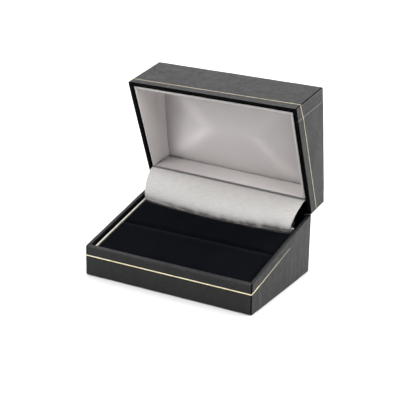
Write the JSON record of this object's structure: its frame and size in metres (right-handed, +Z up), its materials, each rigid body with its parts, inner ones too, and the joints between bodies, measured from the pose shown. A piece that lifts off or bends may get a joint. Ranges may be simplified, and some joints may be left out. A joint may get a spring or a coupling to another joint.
{
  "type": "ring display box",
  "caption": "Hinged leatherette presentation box for a pair of rings, shown open, with a slotted velvet insert, a satin-lined lid and a snap hinge.",
  "frame": {"origin": "centre of the underside of the base, on the surface that the box stands on", "axes": "+X to the right seen from the front and along the hinge pin, +Y from the front of the box to its back, +Z up"},
  "size_m": [0.082, 0.0683, 0.0833],
  "materials": {
    "leatherette": "fine-grained black leatherette paper, low sheen",
    "foil": "pale gold hot-stamped foil",
    "moulded_shell": "moulded, matt",
    "board": "white-lined paperboard, cut edges",
    "foam": "open-cell foam",
    "velvet": "short black pile",
    "flap_satin": "bright woven satin",
    "lining_satin": "smooth satin, pinkish grey",
    "wadding": "soft fibre wadding",
    "steel": "rolled sprung steel"
  },
  "bodies": {
    "base": {"base_shell": "moulded_shell", "base_cover_front": "leatherette", "base_cover_left": "leatherette", "base_cover_right": "leatherette", "base_cover_back": "leatherette", "base_foil_line": "foil", "bottom_sheet": "leatherette", "insert_riser": "board", "insert_tray": "board", "foam_front": "foam", "foam_rear": "foam", "velvet_front": "velvet", "velvet_rear": "velvet", "hinge_leaf_base": "steel", "hinge_pin": "steel", "hinge_rivets_base": "steel", "hinge_spring": "steel", "hinge_flap": "flap_satin"},
    "lid": {"lid_shell": "moulded_shell", "lid_cover_front": "leatherette", "lid_cover_left": "leatherette", "lid_cover_right": "leatherette", "lid_cover_back": "leatherette", "lid_top_panel": "leatherette", "lid_foil_line": "foil", "hinge_leaf_lid": "steel", "hinge_rivets_lid": "steel", "lining_card_roof": "board", "lining_card_front": "board", "lining_card_left": "board", "lining_card_right": "board", "lining_card_rear": "board", "roof_wadding": "wadding", "satin_roof": "lining_satin", "satin_front": "lining_satin", "satin_left": "lining_satin", "satin_right": "lining_satin", "satin_rear": "lining_satin"}
  },
  "joints": [
    {"name": "lid_hinge", "type": "hinge", "parent": "base", "child": "lid", "pos_m": [0, 0.0275, 0.027], "axis": [1, 0, 0], "range_deg": [0, 82], "deforming": ["hinge_flap", "hinge_spring"]}
  ]
}
